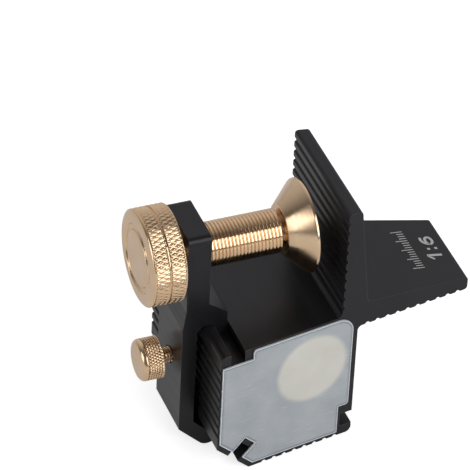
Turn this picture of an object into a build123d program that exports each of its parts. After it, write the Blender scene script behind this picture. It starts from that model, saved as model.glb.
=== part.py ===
from build123d import *
import os
from math import sqrt

# A dovetail saw guide: a ribbed aluminium extrusion with both ends cut at 1:6 and faced with a
# low friction film over a magnet, and a hooked clamp arm that carries a brass clamp screw and a
# brass lock screw. Millimetres, +Z up. The extrusion runs along Y and its profile lies in XZ.
# Profile sizes are taken from the lower left corner of the block, as (across, up).
# The origin is on the middle land of the ribbed face that the block rests on.

# Guide body: the profile is the same on both sides of the diagonal through the lower left corner
block_size = 41.3
body_length = 50.8
end_slope = 1 / 6
plate_reach = 33.8
plate_face_inset = 5.0
plate_tip_thickness = 4.0
plate_root_thickness = 7.5
plate_tip_round = 1.0
plate_inner_round = 1.4
plate_outer_round = 0.8
corner_chamfer = 10.0
corner_slot_width = 4.4
corner_slot_depth = 5.0
lip_width = 3.0
lip_round = 1.6
hook_groove_width = 4.2
hook_groove_depth = 3.6
hook_groove_round = 0.4

# Ribs: round grooves between flat lands with rounded shoulders, as many as each face holds with
# the end land left before the plate's tip and before the chamfer
rib_pitch = 3.1
rib_groove_radius = 0.55
rib_shoulder_round = 0.5
rib_end_land = 2.0
plate_first_groove = 2.9

# Film stuck on each end, a little up and toward the arm, over a magnet let into the body. Its step
# is taken from the hook groove, and the magnet's middle from the block's top and right faces.
film_thickness = 0.5
film_margin = 1.1
film_chamfer_margin = 1.7
film_step = 2.9
film_shift = 0.5
film_corner_round = 4.5
film_step_round = 0.9
film_notch_over_slot = 1.8
magnet_diameter = 21.0
magnet_thickness = 5.0
magnet_place = 13.7
magnet_fit = 0.05

# Clamp arm: one profile along Y that hooks into the top groove and the corner slot. Its top is
# taken from the block's top, and its nose's shoulder from the side of the tongue.
arm_width = 17.4
arm_offset = -2.9
arm_top_height = 29.6
arm_bar_thickness = 6.35
arm_bar_overhang = 4.75
arm_wall_thickness = 4.1
arm_wall_gap = 1.5
arm_corner_gap = 1.8
arm_shoulder_drop = 6.1
arm_foot_height = 7.4
arm_foot_slope_drop = 3.7
arm_foot_round = 1.4
arm_nose_shoulder = 0.7
arm_nose_round = 3.0
arm_top_round = 1.8
arm_edge_round = 0.6
hook_clearance = 0.3

# Clamp screw: rod, knurled knob and swivel pad on one axis
screw_below_top = 9.5
screw_diameter = 12.0
screw_fit = 0.05
screw_end_from_arm = 21.3
thread_mouth_chamfer = 0.6
knob_diameter = 26.2
knob_length = 9.4
knob_gap = 1.5
knob_front_bevel = 0.8
knob_dish_diameter = 17.8
knob_dish_depth = 0.5
neck_diameter = 8.4
neck_length = 0.8

pad_diameter = 25.4
pad_length = 6.7
pad_small_diameter = 13.8
pad_rim = 0.7
pad_face_recess_diameter = 9.4
pad_face_recess_depth = 2.6
spigot_diameter = 5.0
spigot_fit = 0.1
pad_screw_head_diameter = 8.0
pad_screw_head_height = 2.0
pad_screw_diameter = 2.6
pad_screw_length = 7.0
pad_screw_slot_width = 0.9
pad_screw_slot_depth = 0.9
pad_screw_fit = 0.03

# Lock screw: turns in the arm's wall and presses on the block
lock_height = 26.6
lock_diameter = 4.2
lock_fit = 0.05
lock_tip_gap = 0.3
lock_neck_length = 3.1
lock_head_diameter = 11.5
lock_head_length = 6.2
lock_head_front_bevel = 0.9

# How far a cutting shape runs past the faces that it cuts
overrun = 1.0

plate_face = block_size - plate_face_inset
plate_tip_back = plate_face + plate_tip_thickness
plate_root_back = plate_face + plate_root_thickness
overall = block_size + plate_reach
hook_groove_end = lip_width + hook_groove_width
arm_top = block_size + arm_top_height
screw_height = arm_top - screw_below_top


def grooves_along(length):
    """How many rib grooves a face holds from the middle of its first one, up to its end land."""
    return 1 + int((length - rib_end_land) / rib_pitch)


plate_rib_grooves = grooves_along(plate_reach - plate_first_groove)
block_rib_grooves = grooves_along(plate_face - corner_chamfer)
foot_middle = plate_face - (block_rib_grooves - 1) / 2 * rib_pitch
profile_plane = Plane(origin=(-foot_middle, 0, 0), x_dir=(1, 0, 0), z_dir=(0, -1, 0))
diagonal_plane = Plane(origin=(0, 0, 0), z_dir=(1, -1, 0))


def on_diagonal(distance, offset):
    """Point at a distance along the diagonal of the profile and an offset to its right."""
    return ((distance + offset) / sqrt(2), (distance - offset) / sqrt(2))


def outline(points):
    return make_face(Polyline(*points, close=True))


def rounded(sketch, places, radius):
    corners = [sketch.vertices().sort_by_distance(Vector(*place))[0] for place in places]
    return fillet(corners, radius)


def mirrored(places):
    return places + [(up, across) for across, up in places]


def along_y(sketch, length, middle=0.0):
    """Extrude a profile sketch along Y, half to each side of the middle."""
    solid = extrude(profile_plane * sketch, amount=length / 2, both=True)
    return Pos(0, middle, 0) * solid


def far_end(solid):
    """The far end's copy of something at the near end."""
    return mirror(solid, about=Plane.XZ)


# The chamfered corner's plane and the two ends of the slot in it, as distances on the diagonal
chamfer_distance = corner_chamfer / sqrt(2)
slot_end_distance = chamfer_distance + corner_slot_depth


def rib_places():
    """Middles of the rib grooves on the left half of the profile: fence face, then left face."""
    fence = [
        (plate_face, block_size + plate_first_groove + rib_pitch * i)
        for i in range(plate_rib_grooves)
    ]
    left = [(0, plate_face - rib_pitch * i) for i in range(block_rib_grooves)]
    return fence + left


def body_profile():
    half = outline([
        (plate_root_back, plate_root_back),
        (plate_tip_back, overall),
        (plate_face, overall),
        (plate_face, block_size),
        (hook_groove_end, block_size),
        (hook_groove_end, block_size - hook_groove_depth),
        (lip_width, block_size - hook_groove_depth),
        (lip_width, block_size),
        (0, block_size),
        (0, corner_chamfer),
        on_diagonal(chamfer_distance, -corner_slot_width / 2),
        on_diagonal(slot_end_distance, -corner_slot_width / 2),
        on_diagonal(slot_end_distance, 0),
    ])
    for place in rib_places():
        half -= Pos(*place) * Circle(rib_groove_radius)
    profile = half + mirror(half, about=diagonal_plane)
    shoulders = []
    for across, up in rib_places():
        shoulders += [(across, up + rib_groove_radius), (across, up - rib_groove_radius)]
    profile = rounded(profile, mirrored(shoulders), rib_shoulder_round)
    profile = rounded(profile, mirrored([(plate_face, overall), (plate_tip_back, overall)]), plate_tip_round)
    profile = rounded(profile, mirrored([(plate_face, block_size)]), plate_inner_round)
    profile = rounded(profile, [(plate_root_back, plate_root_back)], plate_outer_round)
    profile = rounded(profile, mirrored([(0, block_size)]), lip_round)
    groove_corners = [
        (hook_groove_end, block_size - hook_groove_depth),
        (lip_width, block_size - hook_groove_depth),
    ]
    profile = rounded(profile, mirrored(groove_corners), hook_groove_round)
    return profile


def between_ends():
    """Everything between the two sloped ends of the body."""
    left_half = body_length / 2 + end_slope * overrun
    right_half = body_length / 2 - end_slope * (overall + overrun)
    plan = outline([
        (-overrun, -left_half),
        (overall + overrun, -right_half),
        (overall + overrun, right_half),
        (-overrun, left_half),
    ])
    return Pos(-foot_middle, 0, -overrun) * extrude(plan, amount=overall + 2 * overrun)


def end_plane(place):
    """Plane of the near sloped end, with its origin across and up from the profile's corner."""
    across, up = place
    near = -body_length / 2 + end_slope * across
    return Plane(
        origin=(across - foot_middle, near, up),
        x_dir=(1, end_slope, 0),
        z_dir=(end_slope, -1, 0),
    )


def film_outline():
    """Film's outline: the block's at a margin, stepped clear of both grooves and of the slot."""
    edge = block_size - film_margin
    step = block_size - hook_groove_depth - film_shift
    turn = hook_groove_end + film_step
    chamfer = corner_chamfer + film_chamfer_margin * sqrt(2) - film_margin
    sheet = outline([
        (film_margin, step),
        (turn, step),
        (turn, edge),
        (edge, edge),
        (edge, turn),
        (step, turn),
        (step, film_margin),
        (chamfer, film_margin),
        (film_margin, chamfer),
    ])
    sheet = rounded(sheet, [(edge, edge)], film_corner_round)
    sheet = rounded(sheet, mirrored([(turn, edge)]), film_step_round)
    notch_end = slot_end_distance + film_notch_over_slot
    notch = outline([
        on_diagonal(0, corner_slot_width / 2),
        on_diagonal(notch_end, corner_slot_width / 2),
        on_diagonal(notch_end, -corner_slot_width / 2),
        on_diagonal(0, -corner_slot_width / 2),
    ])
    return Pos(-film_shift, film_shift) * sheet - notch


def near_film():
    sheet = along_y(film_outline(), 2 * body_length)
    slab = Pos(0, 0, film_thickness / 2) * Box(3 * overall, 3 * overall, film_thickness)
    return sheet & (end_plane((0, 0)) * slab)


def disc_behind_end(diameter, thickness):
    disc = Pos(0, 0, -thickness / 2) * Cylinder(diameter / 2, thickness)
    middle = block_size - magnet_place
    return end_plane((middle, middle)) * disc


def near_magnet():
    return disc_behind_end(magnet_diameter, magnet_thickness)


def guide_body():
    body = along_y(body_profile(), body_length + 2 * end_slope * overrun) & between_ends()
    pocket = disc_behind_end(magnet_diameter + 2 * magnet_fit, magnet_thickness + magnet_fit)
    return body - pocket - far_end(pocket)


# Clamp arm: outline from the top of its bar round the foot, the wall and the nose
arm_bar_right = arm_bar_thickness - arm_bar_overhang
arm_wall_left = -arm_wall_gap - arm_wall_thickness
arm_inner_distance = chamfer_distance - arm_corner_gap
arm_outer_distance = arm_inner_distance - arm_wall_thickness
tongue_half = corner_slot_width / 2 - hook_clearance
nose_shoulder = tongue_half + arm_nose_shoulder
tongue_end_distance = slot_end_distance - hook_clearance
arm_under_lip = block_size + hook_clearance
arm_foot_left = lip_width + hook_clearance
arm_foot_right = hook_groove_end - hook_clearance
arm_foot_bottom = block_size - hook_groove_depth + hook_clearance
arm_foot_top = block_size + arm_foot_height
arm_lip_bevel = lip_round


def arm_profile():
    inner_turn = arm_inner_distance * sqrt(2) + arm_wall_gap
    outer_turn = arm_outer_distance * sqrt(2) - arm_wall_left
    profile = outline([
        (-arm_bar_overhang, arm_top),
        (arm_bar_right, arm_top),
        (arm_bar_right, arm_foot_top),
        (arm_foot_right, arm_foot_top - arm_foot_slope_drop),
        (arm_foot_right, arm_foot_bottom),
        (arm_foot_left, arm_foot_bottom),
        (arm_foot_left, arm_under_lip),
        (arm_lip_bevel - arm_wall_gap, arm_under_lip),
        (-arm_wall_gap, arm_under_lip - arm_lip_bevel),
        (-arm_wall_gap, inner_turn),
        on_diagonal(arm_inner_distance, -tongue_half),
        on_diagonal(tongue_end_distance, -tongue_half),
        on_diagonal(tongue_end_distance, tongue_half),
        on_diagonal(arm_inner_distance, tongue_half),
        on_diagonal(arm_inner_distance, nose_shoulder),
        on_diagonal(arm_outer_distance, nose_shoulder),
        (arm_wall_left, outer_turn),
        (arm_wall_left, block_size),
        (-arm_bar_overhang, block_size + arm_shoulder_drop),
    ])
    profile = rounded(profile, [(arm_foot_right, arm_foot_top - arm_foot_slope_drop)], arm_foot_round)
    profile = rounded(profile, [on_diagonal(arm_outer_distance, nose_shoulder)], arm_nose_round)
    soft = [
        (arm_bar_right, arm_foot_top),
        (arm_wall_left, outer_turn),
        on_diagonal(arm_inner_distance, nose_shoulder),
    ]
    return rounded(profile, soft, arm_edge_round)


def along_x(solid, start, height):
    """Lay a solid built up Z along +X from a place across the profile, on a screw's axis."""
    return Pos(start - foot_middle, arm_offset, height) * Rot(0, 90, 0) * solid


def arm_bore(diameter, fit, start, end, height):
    """Plain bore for a thread, with a bevelled mouth at each end."""
    radius = diameter / 2 + fit
    mouth = thread_mouth_chamfer
    length = end - start
    bore = outline([
        (0, -overrun),
        (radius + mouth + overrun, -overrun),
        (radius, mouth),
        (radius, length - mouth),
        (radius + mouth + overrun, length + overrun),
        (0, length + overrun),
    ])
    return along_x(revolve(Plane.XZ * bore, axis=Axis.Z), start, height)


def clamp_arm():
    arm = along_y(arm_profile(), arm_width, arm_offset)
    top_ends = arm.edges().filter_by(Axis.X).group_by(Axis.Z)[-1]
    arm = fillet(top_ends, arm_top_round)
    arm -= arm_bore(screw_diameter, screw_fit, -arm_bar_overhang, arm_bar_right, screw_height)
    arm -= arm_bore(lock_diameter, lock_fit, arm_wall_left, -arm_wall_gap, lock_height)
    return arm


# Clamp screw: turned outline as (radius, distance from the knob's front)
knob_front = -arm_bar_overhang - knob_gap - knob_length
thread_end = arm_bar_right + screw_end_from_arm - knob_front
neck_end = thread_end + neck_length
pad_start = neck_end + spigot_fit
pad_end = pad_start + pad_length
spigot_end = pad_end - pad_face_recess_depth + spigot_fit


def turned(points):
    return revolve(Plane.XZ * outline(points), axis=Axis.Z)


def clamp_screw():
    knob = knob_diameter / 2
    dish = knob_dish_diameter / 2
    rod = screw_diameter / 2
    screw = turned([
        (0, knob_dish_depth),
        (dish - knob_dish_depth, knob_dish_depth),
        (dish, 0),
        (knob - knob_front_bevel, 0),
        (knob, knob_front_bevel),
        (knob, knob_length),
        (rod, knob_length),
        (rod, thread_end - thread_mouth_chamfer),
        (rod - thread_mouth_chamfer, thread_end),
        (neck_diameter / 2, thread_end),
        (neck_diameter / 2, neck_end),
        (spigot_diameter / 2, neck_end),
        (spigot_diameter / 2, spigot_end),
        (0, spigot_end),
    ])
    hole_length = pad_screw_length + pad_screw_fit
    hole = Cylinder(pad_screw_diameter / 2 + pad_screw_fit, hole_length)
    return screw - Pos(0, 0, spigot_end - hole_length / 2) * hole


def clamp_pad():
    bore = spigot_diameter / 2 + spigot_fit
    recess = pad_face_recess_diameter / 2
    return turned([
        (bore, pad_start),
        (pad_small_diameter / 2, pad_start),
        (pad_diameter / 2, pad_end - pad_rim),
        (pad_diameter / 2, pad_end),
        (recess, pad_end),
        (recess, pad_end - pad_face_recess_depth),
        (bore, pad_end - pad_face_recess_depth),
    ])


def pad_screw():
    head = pad_screw_head_diameter / 2
    shank = pad_screw_diameter / 2
    top = spigot_end + pad_screw_head_height
    screw = turned([
        (0, spigot_end - pad_screw_length),
        (shank, spigot_end - pad_screw_length),
        (shank, spigot_end),
        (head, spigot_end),
        (head, top),
        (0, top),
    ])
    slot = Box(pad_screw_slot_width, 2 * (head + overrun), 2 * pad_screw_slot_depth)
    return screw - Pos(0, 0, top) * slot


def lock_screw():
    head = lock_head_diameter / 2
    shank = lock_diameter / 2
    tip = lock_head_length + lock_neck_length + arm_wall_thickness + arm_wall_gap - lock_tip_gap
    return turned([
        (0, 0),
        (head - lock_head_front_bevel, 0),
        (head, lock_head_front_bevel),
        (head, lock_head_length),
        (shank, lock_head_length),
        (shank, tip - thread_mouth_chamfer),
        (shank - thread_mouth_chamfer, tip),
        (0, tip),
    ])


lock_front = arm_wall_left - lock_neck_length - lock_head_length


pieces = {
    "guide_body": guide_body(),
    "near_face_film": near_film(),
    "far_face_film": far_end(near_film()),
    "near_magnet": near_magnet(),
    "far_magnet": far_end(near_magnet()),
    "clamp_arm": clamp_arm(),
    "clamp_screw": along_x(clamp_screw(), knob_front, screw_height),
    "clamp_pad": along_x(clamp_pad(), knob_front, screw_height),
    "pad_screw": along_x(pad_screw(), knob_front, screw_height),
    "lock_screw": along_x(lock_screw(), lock_front, lock_height),
}

os.makedirs("parts", exist_ok=True)
for name, piece in pieces.items():
    export_step(piece, f"parts/{name}.step")
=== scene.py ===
import math

import bpy
import numpy as np
from mathutils import Matrix, Vector


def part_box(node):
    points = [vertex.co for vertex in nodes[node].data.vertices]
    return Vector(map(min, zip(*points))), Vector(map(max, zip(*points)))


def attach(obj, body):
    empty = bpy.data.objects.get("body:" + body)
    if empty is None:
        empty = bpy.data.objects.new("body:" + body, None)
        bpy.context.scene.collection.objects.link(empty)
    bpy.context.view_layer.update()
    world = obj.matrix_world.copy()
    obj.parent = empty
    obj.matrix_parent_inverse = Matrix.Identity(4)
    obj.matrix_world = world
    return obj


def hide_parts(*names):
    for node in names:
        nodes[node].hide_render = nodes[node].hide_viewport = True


# Looks of the dovetail saw guide: brass turnings with their thread and knurl, black anodised
# aluminium, milky film over a magnet, the marks on the tail plate, and the studio. Metres, and
# millimetres where MM follows.

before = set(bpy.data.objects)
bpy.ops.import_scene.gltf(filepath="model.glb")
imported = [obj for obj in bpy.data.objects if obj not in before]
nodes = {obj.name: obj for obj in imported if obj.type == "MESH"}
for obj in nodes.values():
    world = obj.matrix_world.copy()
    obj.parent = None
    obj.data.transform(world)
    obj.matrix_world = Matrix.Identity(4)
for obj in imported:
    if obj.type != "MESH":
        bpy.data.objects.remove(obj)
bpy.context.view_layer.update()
MM = 0.001


# Node materials. The helpers take a material, or the world, because both hold a node tree.


def new_material(name):
    material = bpy.data.materials.new(name)
    material.use_nodes = True
    return material, material.node_tree.nodes["Principled BSDF"]


def add_node(material, kind, **values):
    """Add a shader node. A value named like a socket sets that socket, and others set properties."""
    made = material.node_tree.nodes.new(kind)
    for name, value in values.items():
        socket = next((s for s in made.inputs if s.name.lower().replace(" ", "_") == name), None)
        if socket is None:
            setattr(made, name, value)
        else:
            socket.default_value = value
    return made


def link(material, start, end):
    material.node_tree.links.new(start, end)


def object_place(material, stretch=(1, 1, 1)):
    """Object coordinates stretched by a factor along each axis."""
    place = add_node(material, "ShaderNodeTexCoord")
    mapping = add_node(material, "ShaderNodeMapping", scale=stretch)
    link(material, place.outputs["Object"], mapping.inputs["Vector"])
    return mapping.outputs["Vector"]


def noise(material, vector, scale, detail=4.0):
    made = add_node(material, "ShaderNodeTexNoise", scale=scale, detail=detail)
    link(material, vector, made.inputs["Vector"])
    return made.outputs["Fac"]


def remap(material, value, low, high, to_low, to_high):
    made = add_node(material, "ShaderNodeMapRange", from_min=low, from_max=high,
                    to_min=to_low, to_max=to_high)
    link(material, value, made.inputs["Value"])
    return made.outputs["Result"]


def spread(material, value, low, high):
    """Map 0.3 to 0.7, where noise mostly lies, to a range."""
    return remap(material, value, 0.3, 0.7, low, high)


def mixed(material, value, low, high):
    """Colour from low to high by a value. Each colour is a tuple or another node's output."""
    made = add_node(material, "ShaderNodeMix", data_type="RGBA")
    for socket, colour in zip([s for s in made.inputs if s.type == "RGBA"], (low, high)):
        if isinstance(colour, tuple):
            socket.default_value = (*colour, 1)
        else:
            link(material, colour, socket)
    link(material, value, made.inputs[0])
    return next(s for s in made.outputs if s.type == "RGBA")


def bump(material, height, strength, distance, normal=None):
    """Normal bent by a height, over another normal where one is given."""
    made = add_node(material, "ShaderNodeBump", strength=strength, distance=distance)
    link(material, height, made.inputs["Height"])
    if normal is not None:
        link(material, normal, made.inputs["Normal"])
    return made.outputs["Normal"]


def soft_edges(material, radius, samples=4):
    """Normal that rounds a piece's edges by a radius."""
    made = add_node(material, "ShaderNodeBevel", radius=radius)
    made.samples = samples
    return made.outputs["Normal"]


def edge_nearness(material, radius, full):
    """0 further than a radius from a piece's edges, and 1 where the bevel turns by a cosine."""
    flat = add_node(material, "ShaderNodeNewGeometry")
    turn = add_node(material, "ShaderNodeVectorMath", operation="DOT_PRODUCT")
    link(material, flat.outputs["Normal"], turn.inputs[0])
    link(material, soft_edges(material, radius, 8), turn.inputs[1])
    return remap(material, turn.outputs["Value"], 1, full, 0, 1)


def anodised(name, base, lighter):
    """Black anodised aluminium: a fine blasted grain, faint drawn lines along the extrusion, and a
    painted highlight along the edges.
    """
    material, shader = new_material(name)
    # Colour of the painted highlight along the edges
    edge_highlight_colour = (0.1, 0.1, 0.11)
    grain = noise(material, object_place(material), scale=2600, detail=3)
    drawn = noise(material, object_place(material, (1, 0.04, 1)), scale=900, detail=5)
    cloud = noise(material, object_place(material), scale=45, detail=3)
    shade = mixed(material, spread(material, cloud, 0, 1), base, lighter)
    # Painted highlight: the colour turns lighter within 0.3 mm of the edges, where light would catch
    # them.
    edge_highlight = remap(material, edge_nearness(material, radius=0.3 * MM, full=0.8), 0, 1, 0, 0.6)
    link(material, mixed(material, edge_highlight, shade, edge_highlight_colour), shader.inputs["Base Color"])
    shader.inputs["Specular Tint"].default_value = (0.97, 0.94, 1, 1)
    link(material, spread(material, drawn, 0.28, 0.36), shader.inputs["Roughness"])
    shader.inputs["Specular IOR Level"].default_value = 0.31
    edges = soft_edges(material, 0.25 * MM)
    lines = bump(material, drawn, strength=0.04, distance=0.02 * MM, normal=edges)
    blasted = bump(material, grain, strength=0.2, distance=0.02 * MM, normal=lines)
    link(material, blasted, shader.inputs["Normal"])
    return material


def turned_brass(name, colour, dark, roughness, anisotropy=0.0, ring_depth=0.0):
    """Satin brass with the fine rings that a lathe leaves round the piece's own X axis."""
    material, shader = new_material(name)
    place = add_node(material, "ShaderNodeTexCoord")
    parts = add_node(material, "ShaderNodeSeparateXYZ")
    link(material, place.outputs["Object"], parts.inputs["Vector"])
    flat = add_node(material, "ShaderNodeCombineXYZ")
    link(material, parts.outputs["Y"], flat.inputs["Y"])
    link(material, parts.outputs["Z"], flat.inputs["Z"])
    radius = add_node(material, "ShaderNodeVectorMath", operation="LENGTH")
    link(material, flat.outputs["Vector"], radius.inputs[0])
    rings = add_node(material, "ShaderNodeCombineXYZ")
    link(material, parts.outputs["X"], rings.inputs["X"])
    link(material, radius.outputs["Value"], rings.inputs["Y"])
    bands = noise(material, rings.outputs["Vector"], scale=900, detail=2)
    cloud = noise(material, object_place(material), scale=160, detail=4)
    shade = mixed(material, spread(material, cloud, 0, 1), dark, colour)
    link(material, shade, shader.inputs["Base Color"])
    finish = spread(material, bands, roughness - 0.03, roughness + 0.05)
    link(material, finish, shader.inputs["Roughness"])
    shader.inputs["Metallic"].default_value = 1.0
    if anisotropy:
        shader.inputs["Anisotropic"].default_value = anisotropy
        shader.inputs["Anisotropic Rotation"].default_value = 0.25
        tangent = add_node(material, "ShaderNodeTangent", direction_type="RADIAL", axis="X")
        link(material, tangent.outputs["Tangent"], shader.inputs["Tangent"])
    if ring_depth:
        lathe = noise(material, rings.outputs["Vector"], scale=6000, detail=2)
        turned = bump(material, lathe, strength=ring_depth, distance=0.01 * MM)
        link(material, turned, shader.inputs["Normal"])
    return material


def plated_steel(name):
    material, shader = new_material(name)
    shader.inputs["Base Color"].default_value = (0.66, 0.64, 0.6, 1)
    shader.inputs["Metallic"].default_value = 1.0
    cloud = noise(material, object_place(material), scale=300, detail=3)
    link(material, spread(material, cloud, 0.3, 0.4), shader.inputs["Roughness"])
    return material


def film_finish(name, magnet_centre, magnet_radius):
    """Milky film: grey over the black metal and cream over the magnet, with faint rubbed streaks.
    A darker band runs along its outline, and a painted highlight lies along its cut edges."""
    material, shader = new_material(name)
    place = add_node(material, "ShaderNodeTexCoord")
    apart = add_node(material, "ShaderNodeVectorMath", operation="DISTANCE")
    apart.inputs[1].default_value = magnet_centre
    link(material, place.outputs["Object"], apart.inputs[0])
    blur = 1.1 * MM
    disc = add_node(material, "ShaderNodeMapRange", interpolation_type="SMOOTHSTEP",
                    from_min=magnet_radius + blur, from_max=magnet_radius - blur)
    link(material, apart.outputs["Value"], disc.inputs["Value"])
    cloud = spread(material, noise(material, object_place(material), scale=110, detail=4), 0, 1)
    grey = mixed(material, cloud, (0.4, 0.435, 0.465), (0.5, 0.53, 0.55))
    cream = mixed(material, cloud, (0.71, 0.69, 0.63), (0.77, 0.75, 0.69))
    sheet = mixed(material, disc.outputs["Result"], grey, cream)
    band = remap(material, edge_nearness(material, radius=1.3 * MM, full=0.99), 0, 1, 0, 0.85)
    banded = mixed(material, band, sheet, (0.2, 0.25, 0.33))
    # Painted highlight: the film's cut edges are lightened where light would catch them.
    rim = edge_nearness(material, radius=0.45 * MM, full=0.985)
    edge_highlighted = mixed(material, rim, banded, (0.95, 0.96, 0.96))
    rubbed = noise(material, object_place(material, (1, 1, 9)), scale=260, detail=2)
    streaks = remap(material, rubbed, 0.62, 0.72, 0, 0.3)
    link(material, mixed(material, streaks, edge_highlighted, (0.8, 0.81, 0.8)), shader.inputs["Base Color"])
    grain = noise(material, object_place(material), scale=3500, detail=2)
    link(material, spread(material, grain, 0.36, 0.48), shader.inputs["Roughness"])
    edges = soft_edges(material, 0.12 * MM)
    pressed = bump(material, grain, strength=0.08, distance=0.01 * MM, normal=edges)
    link(material, pressed, shader.inputs["Normal"])
    return material


def dress(name, material):
    """Give a CAD node its material."""
    mesh = nodes[name].data
    mesh.materials.clear()
    mesh.materials.append(material)


# Turned pieces: rings of points round the piece's X axis, in millimetres from its start. Rings
# that lie nearer together than same_ring are one.

same_ring = 1e-6
sharp_angle = math.radians(35)


class Turning:
    """Places and radii of a turned piece, from one end to the other."""

    def __init__(self, around):
        self.around = around
        self.angles = np.arange(around) * 2 * math.pi / around
        self.places = []
        self.radii = []

    def ring(self, place, radius):
        """Add a round ring, unless the last ring already lies there."""
        if self.places:
            moved = abs(self.places[-1] - place)
            grown = np.abs(self.radii[-1] - radius).max()
            if moved + grown < same_ring:
                return
        self.places.append(place)
        self.radii.append(np.full(self.around, float(radius)))

    def corner(self, place, radius, came, leaves, size, steps=4):
        """Rounded corner at a place and radius. It is reached and left along two directions, each
        as (place, radius)."""
        for i in range(steps + 1):
            turn = math.pi / 2 * i / steps
            back = size * (1 - math.sin(turn))
            on = size * (1 - math.cos(turn))
            self.ring(place - came[0] * back + leaves[0] * on,
                      radius - came[1] * back + leaves[1] * on)

    def textured(self, places, radius_at):
        """Rings whose radius comes from a function of the place and the angles."""
        for place in places:
            self.places.append(place)
            self.radii.append(radius_at(place, self.angles))

    def piece(self, name, body, start, material, slot, node, ends=True):
        """Mesh that rides on a body and replaces a node. Its ends are closed by fans, or else the
        last ring meets the first."""
        around = self.around
        rows = len(self.places)
        radii = np.array(self.radii)
        along = np.repeat(self.places, around).reshape(rows, around)
        across = radii * np.cos(self.angles)
        upward = radii * np.sin(self.angles)
        points = np.stack([along, across, upward], 2).reshape(-1, 3).tolist()
        step = np.arange(around)
        after = (step + 1) % around
        faces = []
        for row in range(rows - 1 if ends else rows):
            low = row * around
            high = (row + 1) % rows * around
            quads = np.stack([low + step, low + after, high + after, high + step], 1)
            faces += quads.tolist()
        if ends:
            points += [[self.places[0], 0, 0], [self.places[-1], 0, 0]]
            first = rows * around
            last = first + 1
            below = (rows - 1) * around
            faces += [[first, int(b), int(a)] for a, b in zip(step, after)]
            faces += [[last, int(below + a), int(below + b)] for a, b in zip(step, after)]
        mesh = bpy.data.meshes.new(name)
        mesh.from_pydata((np.array(points) * MM).tolist(), [], faces)
        mesh.update()
        mesh.shade_smooth()
        mesh.set_sharp_from_angle(angle=sharp_angle)
        mesh.materials.append(material)
        made = bpy.data.objects.new(name, mesh)
        made.location = start
        bpy.context.scene.collection.objects.link(made)
        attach(made, body)
        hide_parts(node)


def diamond_knurl(radius, teeth, depth, lean, start, end, fade):
    """Radius of a diamond knurl: two crossing sets of V grooves that run out at both ends. They
    lean to the axis, and they leave a small flat on each diamond."""
    flank = 1.15

    def from_groove(angles):
        return np.abs((angles * teeth / (2 * math.pi)) % 1 * 2 - 1)

    def radius_at(place, angles):
        shift = (place - start) * lean / radius
        nearest = np.minimum(from_groove(angles + shift), from_groove(angles - shift))
        cut = (1 - nearest * flank).clip(0, 1)
        strength = min(1.0, (place - start) / fade, (end - place) / fade)
        return radius - depth * cut * max(strength, 0.0)

    return radius_at


def thread(radius, pitch, depth, start, end, chamfer):
    """Radius of a screw thread with broad round crests, narrow roots and a bevel at each end."""
    narrowness = 5

    def radius_at(place, angles):
        phase = place / pitch * 2 * math.pi - angles
        root = (0.5 + 0.5 * np.cos(phase)) ** narrowness
        past_end = max(0.0, place - (end - chamfer))
        before_start = max(0.0, (start + chamfer) - place)
        bevel = radius - past_end - before_start
        return np.minimum(radius - depth * root, bevel)

    return radius_at


# Directions, as (place, radius)

FORWARD = (1, 0)
OUT = (0, 1)
IN = (0, -1)

# Finishes

bright = (0.78, 0.565, 0.365)
dull = (0.72, 0.5, 0.31)
body_black = anodised("black_anodised", (0.0085, 0.0083, 0.0095), (0.0125, 0.012, 0.0135))
arm_black = anodised("black_anodised_arm", (0.007, 0.007, 0.0078), (0.0105, 0.0102, 0.0115))
brass = turned_brass("satin_brass", bright, dull, roughness=0.2, anisotropy=0.4, ring_depth=0.1)
rod_brass = turned_brass("threaded_brass", bright, dull, roughness=0.13)
pad_brass = turned_brass("pad_brass", (0.78, 0.58, 0.385), (0.73, 0.52, 0.33),
                         roughness=0.22, anisotropy=0.8, ring_depth=0.08)
screw_brass = turned_brass("pad_screw_brass", bright, dull, roughness=0.25)
steel = plated_steel("magnet_plating")


def film_over(magnet, film, side):
    """Finish for a film over its magnet. side is -1 at the near end and 1 at the far one."""
    low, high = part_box(magnet)
    radius = (high.z - low.z) / 2
    end_slope = 1 / 6
    outward = Vector((end_slope, side, 0)).normalized()
    to_film_face = 3.0 * MM
    return film_finish(film + "_finish", (low + high) / 2 + outward * to_film_face, radius)


dress("guide_body", body_black)
dress("clamp_arm", arm_black)
dress("near_face_film", film_over("near_magnet", "near_face_film", -1))
dress("far_face_film", film_over("far_magnet", "far_face_film", 1))
dress("near_magnet", steel)
dress("far_magnet", steel)
dress("pad_screw", screw_brass)


def axis_start(name):
    """Left end of a turned node's axis."""
    low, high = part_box(name)
    return Vector((low.x, (low.y + high.y) / 2, (low.z + high.z) / 2))


def length_of(name):
    low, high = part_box(name)
    return (high.x - low.x) / MM


def radius_of(name):
    low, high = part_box(name)
    return (high.z - low.z) / 2 / MM


# Knurls of both brass heads: the bare gap after the front's round, and the length they fade over

knurl_gap = 0.02
knurl_fade = 0.2

# Clamp screw: a knob with a ring groove in its face, two knurled bands and a groove between them,
# and a threaded rod that ends in a neck and the pad's spigot. The face groove lies between two
# radii and the knob's groove between two places. A side is a direction, as (place, radius).

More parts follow.
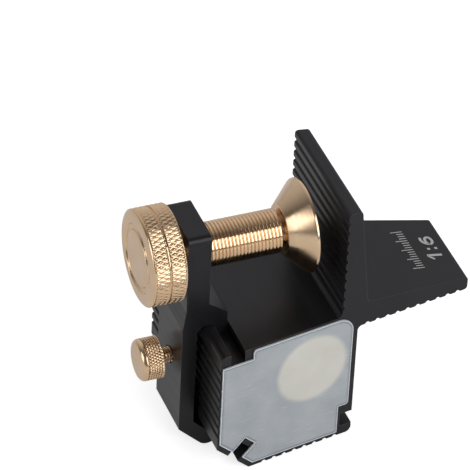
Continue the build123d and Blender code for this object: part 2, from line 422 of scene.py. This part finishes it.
knob_radius = radius_of("clamp_screw")
knob_length = 9.4
knob_front_round = 0.8
knob_front_spread = 2.4
face_groove = (7.6, 9.5)
face_groove_depth = 0.5
face_groove_side = (0.87, 0.5)
face_groove_side_run = 0.29
face_groove_round = 0.1
face_middle = 5.6
knob_groove = (4.65, 5.0)
knob_groove_depth = 0.3
knob_rear_round = 0.35
knob_teeth = 64
knob_knurl_depth = 0.25
knob_knurl_lean = 0.46
knob_ring_step = 0.12
rod_radius = 6.0
rod_bevel = 0.15
rod_start = knob_length - 0.1
thread_start = knob_length - 0.05
thread_lead = 1.0
thread_pitch = 1.0
thread_depth = 0.3
thread_rings_per_turn = 16
spigot_radius = 2.5
spigot_bevel = 0.2
neck_radius = 4.2
neck_length = 0.8
spigot_gap = 0.1
screw_end = length_of("clamp_screw")
neck_end = (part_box("clamp_pad")[0].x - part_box("clamp_screw")[0].x) / MM - spigot_gap
rod_end = neck_end - neck_length


def knob_knurl(turning, start, end):
    """One knurled band of the knob."""
    rings = round((end - start) / knob_ring_step)
    cut = diamond_knurl(knob_radius, knob_teeth, knob_knurl_depth, knob_knurl_lean,
                        start, end, knurl_fade)
    turning.textured(np.linspace(start, end, rings), cut)


def knob():
    turning = Turning(around=512)
    inner, outer = face_groove
    down = face_groove_side
    up = (-down[0], down[1])
    turning.ring(0, face_middle)
    turning.corner(0, inner, OUT, down, face_groove_round, 3)
    turning.corner(face_groove_depth, inner + face_groove_side_run, down, OUT, face_groove_round, 3)
    turning.corner(face_groove_depth, outer - face_groove_side_run, OUT, up, face_groove_round, 3)
    turning.corner(0, outer, up, OUT, face_groove_round, 3)
    turning.corner(0, knob_radius, (0, knob_front_spread), FORWARD, knob_front_round, 8)
    knob_knurl(turning, knob_front_round + knurl_gap, knob_groove[0])
    for place in knob_groove:
        turning.ring(place, knob_radius - knob_groove_depth)
    knob_knurl(turning, knob_groove[1], knob_length - knob_rear_round)
    turning.corner(knob_length, knob_radius, FORWARD, IN, knob_rear_round)
    turning.ring(knob_length, rod_radius - thread_depth)
    return turning


def threaded_rod():
    turning = Turning(around=120)
    bevel = thread_depth + rod_bevel
    turning.ring(rod_start, rod_radius - thread_depth)
    cut = thread(rod_radius, thread_pitch, thread_depth, knob_length - thread_lead, rod_end, bevel)
    turning.textured(np.arange(thread_start, rod_end, thread_pitch / thread_rings_per_turn), cut)
    turning.ring(rod_end, rod_radius - bevel)
    turning.ring(rod_end, neck_radius)
    turning.ring(neck_end, neck_radius)
    turning.ring(neck_end, spigot_radius)
    turning.ring(screw_end - spigot_bevel, spigot_radius)
    turning.ring(screw_end, spigot_radius - spigot_bevel)
    return turning


screw_start = axis_start("clamp_screw")
knob().piece("clamp_screw_knob", "screw", screw_start, brass, "brass_screw", "clamp_screw")
threaded_rod().piece("clamp_screw_rod", "screw", screw_start, rod_brass, "brass_screw", "clamp_screw")

# Swivel pad: a cone with a thin rim, a flat face and the recess for its screw

pad_length = length_of("clamp_pad")
pad_radius = radius_of("clamp_pad")
pad_small_radius = 6.9
pad_rim = 0.7
pad_cone_side = (0.74, 0.67)
pad_edge_round = 0.2
pad_rim_round = 0.15
pad_bore_radius = 2.6
pad_recess_radius = 4.7
pad_recess_depth = 2.6
pad_recess_bevel = 0.2


def swivel_pad():
    turning = Turning(around=160)
    turning.ring(0, pad_bore_radius)
    turning.corner(0, pad_small_radius, OUT, pad_cone_side, pad_edge_round, 3)
    turning.corner(pad_length - pad_rim, pad_radius, pad_cone_side, FORWARD, pad_rim_round, 3)
    turning.corner(pad_length, pad_radius, FORWARD, IN, pad_edge_round, 3)
    turning.ring(pad_length, pad_recess_radius + pad_recess_bevel)
    turning.ring(pad_length - pad_recess_bevel, pad_recess_radius)
    turning.ring(pad_length - pad_recess_depth, pad_recess_radius)
    turning.ring(pad_length - pad_recess_depth, pad_bore_radius)
    return turning


pad_start = axis_start("clamp_pad")
swivel_pad().piece("clamp_pad_turned", "pad", pad_start, pad_brass, "brass_pad", "clamp_pad", ends=False)

# Lock screw: a smooth rounded front, a knurled head, a bare neck and a thin threaded shank

lock_radius = radius_of("lock_screw")
lock_end = length_of("lock_screw")
lock_head_length = 6.2
lock_front_round = 1.5
lock_rear_round = 0.2
lock_teeth = 44
lock_knurl_depth = 0.22
lock_knurl_lean = 0.6
lock_knurl_rings = 40
lock_shank_radius = 2.1
lock_neck_radius = 1.85
lock_neck_length = 0.9
lock_thread_start = lock_head_length + 0.95
lock_pitch = 0.8
lock_thread_depth = 0.3
lock_thread_bevel = 0.35
lock_rings_per_turn = 10
lock_tip_radius = 1.7


def lock_screw():
    turning = Turning(around=352)
    turning.corner(0, lock_radius, OUT, FORWARD, lock_front_round, 8)
    start = lock_front_round + knurl_gap
    end = lock_head_length - lock_rear_round
    knurl = diamond_knurl(lock_radius, lock_teeth, lock_knurl_depth, lock_knurl_lean,
                          start, end, knurl_fade)
    turning.textured(np.linspace(start, end, lock_knurl_rings), knurl)
    turning.corner(lock_head_length, lock_radius, FORWARD, IN, lock_rear_round, 3)
    turning.ring(lock_head_length, lock_neck_radius)
    turning.ring(lock_head_length + lock_neck_length, lock_neck_radius)
    cut = thread(lock_shank_radius, lock_pitch, lock_thread_depth, lock_thread_start, lock_end,
                 lock_thread_bevel)
    turning.textured(np.arange(lock_thread_start, lock_end, lock_pitch / lock_rings_per_turn), cut)
    turning.ring(lock_end, lock_tip_radius)
    return turning


lock_start = axis_start("lock_screw")
lock_screw().piece("lock_screw_turned", "lock", lock_start, brass, "brass_lock", "lock_screw")

# Marks on the tail plate: the slope's ratio, and a short plain scale. The tail's reach, its drop
# and its end's height give the plate's sloped top.

marks, marks_shader = new_material("engraved_marks")
marks_shader.inputs["Roughness"].default_value = 0.5
flecks = spread(marks, noise(marks, object_place(marks), scale=3000, detail=3), 0, 1)
mark_colour = mixed(marks, flecks, (0.55, 0.54, 0.52), (0.72, 0.71, 0.69))
link(marks, mark_colour, marks_shader.inputs["Base Color"])

tail_reach = 31.3
tail_drop = 3.5
tail_end_height = 40.3
mark_height = 0.03
tail_run = Vector((tail_reach, 0, -tail_drop)).normalized()
tail_normal = Vector((tail_drop, 0, tail_reach)).normalized()
tail_end = Vector((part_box("guide_body")[1].x, 0, tail_end_height * MM))


def on_tail(from_end, sideways):
    """Point just over the tail plate's top, at a distance back from its end and along Y."""
    lift = tail_normal * mark_height
    return tail_end + (lift - tail_run * from_end + Vector((0, sideways, 0))) * MM


def stroke(points, faces, line, width):
    """Add a line of quads of a width. Its places are (from_end, sideways) on the tail."""
    for i, place in enumerate(line):
        before = Vector(line[max(i - 1, 0)])
        after = Vector(line[min(i + 1, len(line) - 1)])
        along = (after - before).normalized()
        side = Vector((-along.y, along.x)) * width / 2
        for corner in (Vector(place) - side, Vector(place) + side):
            points.append(tuple(on_tail(*corner)))
        if i:
            last = len(points)
            faces.append([last - 4, last - 3, last - 1, last - 2])


def mark_piece(name, points, faces):
    """Thin solid that rides on the guide, sunk into the plate by as much as it stands over it."""
    mesh = bpy.data.meshes.new(name)
    mesh.from_pydata(points, [], faces)
    mesh.update()
    mesh.materials.append(marks)
    piece = bpy.data.objects.new(name, mesh)
    bpy.context.scene.collection.objects.link(piece)
    thin = piece.modifiers.new("thin", "SOLIDIFY")
    thin.thickness = 2 * mark_height * MM
    thin.offset = -1
    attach(piece, "guide")


def arc(middle, radii, start, end):
    """Places on an ellipse. Angles run in degrees from the side of the block toward +Y."""
    steps = 18
    places = []
    for i in range(steps + 1):
        angle = math.radians(start + (end - start) * i / steps)
        places.append((middle[0] + radii[0] * math.cos(angle),
                       middle[1] + radii[1] * math.sin(angle)))
    return places


def ratio_mark():
    """One to six, read from the tail's end."""
    points = []
    faces = []
    one_stem = [(3.2, -2.3), (7.4, -2.0)]
    one_flag = [(7.3, -2.2), (5.9, -3.9)]
    six_bowl = arc((4.4, 4.15), (0.95, 1.5), 0, 360)
    six_tail = arc((4.4, 4.85), (2.1, 2.2), 270, 385)
    dot = 0.8
    stroke(points, faces, one_stem, width=0.85)
    stroke(points, faces, one_flag, width=0.6)
    for from_end in (3.7, 5.8):
        stroke(points, faces, [(from_end - dot / 2, 0.7), (from_end + dot / 2, 0.7)], width=dot)
    stroke(points, faces, six_bowl, width=0.75)
    stroke(points, faces, six_tail, width=0.75)
    mark_piece("ratio_mark", points, faces)


def scale_mark():
    """Ticks 1 mm apart across the tail, with every fourth one longer."""
    points = []
    faces = []
    ticks = 17
    near_end = 10.2
    first = -6.8
    for i in range(ticks):
        length = 3.4 if i % 4 == 0 else 2.0
        stroke(points, faces, [(near_end, first + i), (near_end + length, first + i)], width=0.26)
    mark_piece("scale_mark", points, faces)


ratio_mark()
scale_mark()

# Studio: a pale floor, a large soft light at the front right and one at the left, and a backdrop
# behind the object in a dim room. The floor lies just under the block's lands.

floor_reach = 3.0
floor_drop = 0.02 * MM
corners = [(-1, -1), (1, -1), (1, 1), (-1, 1)]
floor_finish, floor_shader = new_material("pale_floor")
floor_shader.inputs["Base Color"].default_value = (0.86, 0.86, 0.86, 1)
floor_shader.inputs["Roughness"].default_value = 0.9
floor_mesh = bpy.data.meshes.new("floor")
floor_mesh.from_pydata([(x * floor_reach, y * floor_reach, 0) for x, y in corners], [], [(0, 1, 2, 3)])
floor_mesh.materials.append(floor_finish)
floor = bpy.data.objects.new("floor", floor_mesh)
floor.location.z = -floor_drop
bpy.context.scene.collection.objects.link(floor)
light_path = add_node(floor_finish, "ShaderNodeLightPath")


def floor_glow(ray, level):
    """Glow of the floor for one kind of ray."""
    scaled = add_node(floor_finish, "ShaderNodeMath", operation="MULTIPLY")
    scaled.inputs[1].default_value = level
    link(floor_finish, light_path.outputs[ray], scaled.inputs[0])
    return scaled.outputs["Value"]


glow = add_node(floor_finish, "ShaderNodeMath", operation="ADD")
link(floor_finish, floor_glow("Is Camera Ray", 0.7), glow.inputs[0])
link(floor_finish, floor_glow("Is Glossy Ray", 0.17), glow.inputs[1])
floor_shader.inputs["Emission Color"].default_value = (1, 1, 1, 1)
link(floor_finish, glow.outputs["Value"], floor_shader.inputs["Emission Strength"])

object_middle = Vector((0.01, 0, 0.04))


def soft_light(name, direction, distance, size, radiance):
    """Square area light that faces the object from a direction."""
    data = bpy.data.lights.new(name, "AREA")
    data.size = size
    data.energy = radiance * math.pi * size * size
    lamp = bpy.data.objects.new(name, data)
    away = Vector(direction).normalized()
    lamp.location = object_middle + away * distance
    lamp.rotation_euler = away.to_track_quat("Z", "Y").to_euler()
    bpy.context.scene.collection.objects.link(lamp)


soft_light("front_softbox", (0.29, -0.82, 0.49), distance=1.0, size=0.8, radiance=2.7)
soft_light("left_softbox", (-0.96, -0.1, 0.27), distance=1.0, size=0.5, radiance=2.6)

backdrop_direction = (0.15, 0.85, 0.5)
world = bpy.data.worlds.new("studio")
world.use_nodes = True
place = add_node(world, "ShaderNodeTexCoord")
behind = add_node(world, "ShaderNodeVectorMath", operation="DOT_PRODUCT")
behind.inputs[1].default_value = backdrop_direction
link(world, place.outputs["Generated"], behind.inputs[0])
backdrop = remap(world, behind.outputs["Value"], 0.35, 0.95, 0, 1)
room = mixed(world, backdrop, (0.15, 0.15, 0.153), (0.68, 0.68, 0.69))
seen = add_node(world, "ShaderNodeLightPath")
surround = mixed(world, seen.outputs["Is Camera Ray"], room, (1, 1, 1))
link(world, surround, world.node_tree.nodes["Background"].inputs["Color"])
bpy.context.scene.world = world

# The photograph's camera

aim = Vector((-8.1, 11.36, 50.36)) * MM
distance = 1.06
azimuth = math.radians(22.6)
elevation = math.radians(38.4)
roll = math.radians(2.9)
ahead = Vector((math.sin(azimuth) * math.cos(elevation), math.cos(azimuth) * math.cos(elevation),
                -math.sin(elevation)))
level = Vector((math.cos(azimuth), -math.sin(azimuth), 0))
above = level.cross(ahead)
right = level * math.cos(roll) + above * math.sin(roll)
up = above * math.cos(roll) - level * math.sin(roll)
lens_data = bpy.data.cameras.new("camera")
lens_data.lens = 306.4
lens_data.sensor_width = 36
camera = bpy.data.objects.new("camera", lens_data)
turn = Matrix((right, up, -ahead)).transposed().to_4x4()
camera.matrix_world = Matrix.Translation(aim - ahead * distance) @ turn
bpy.context.scene.collection.objects.link(camera)
bpy.context.scene.camera = camera

bpy.context.scene.view_settings.view_transform = "Standard"
